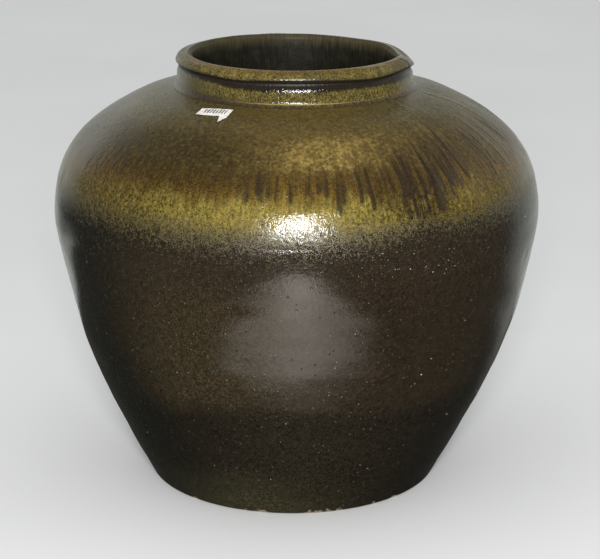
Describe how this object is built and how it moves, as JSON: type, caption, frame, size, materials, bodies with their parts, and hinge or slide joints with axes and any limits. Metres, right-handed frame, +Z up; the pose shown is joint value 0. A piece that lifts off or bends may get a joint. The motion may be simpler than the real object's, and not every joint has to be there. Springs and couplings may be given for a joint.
{
  "type": "storage jar",
  "caption": "Large glazed stoneware storage jar: wide belly, high shoulder, tapering lower wall, flat foot, short neck collar with a rolled lip and a blank paper sticker.",
  "frame": {"origin": "middle of the belly's footprint, on the plane that the foot stands on", "axes": "+Z up through the mouth; -Y is the side that the picture shows, +X to its right"},
  "size_m": [0.75, 0.75, 0.6652],
  "materials": {
    "bare_clay": "matt",
    "dark_glaze": "gloss",
    "olive_glaze": "gloss",
    "mustard_glaze": "gloss",
    "label_paper": "matt"
  },
  "bodies": {
    "root": {"base_disc": "bare_clay", "lower_wall": "dark_glaze", "shoulder": "olive_glaze", "neck_collar": "mustard_glaze", "lip_roll": "mustard_glaze", "paper_label": "label_paper"}
  },
  "joints": []
}
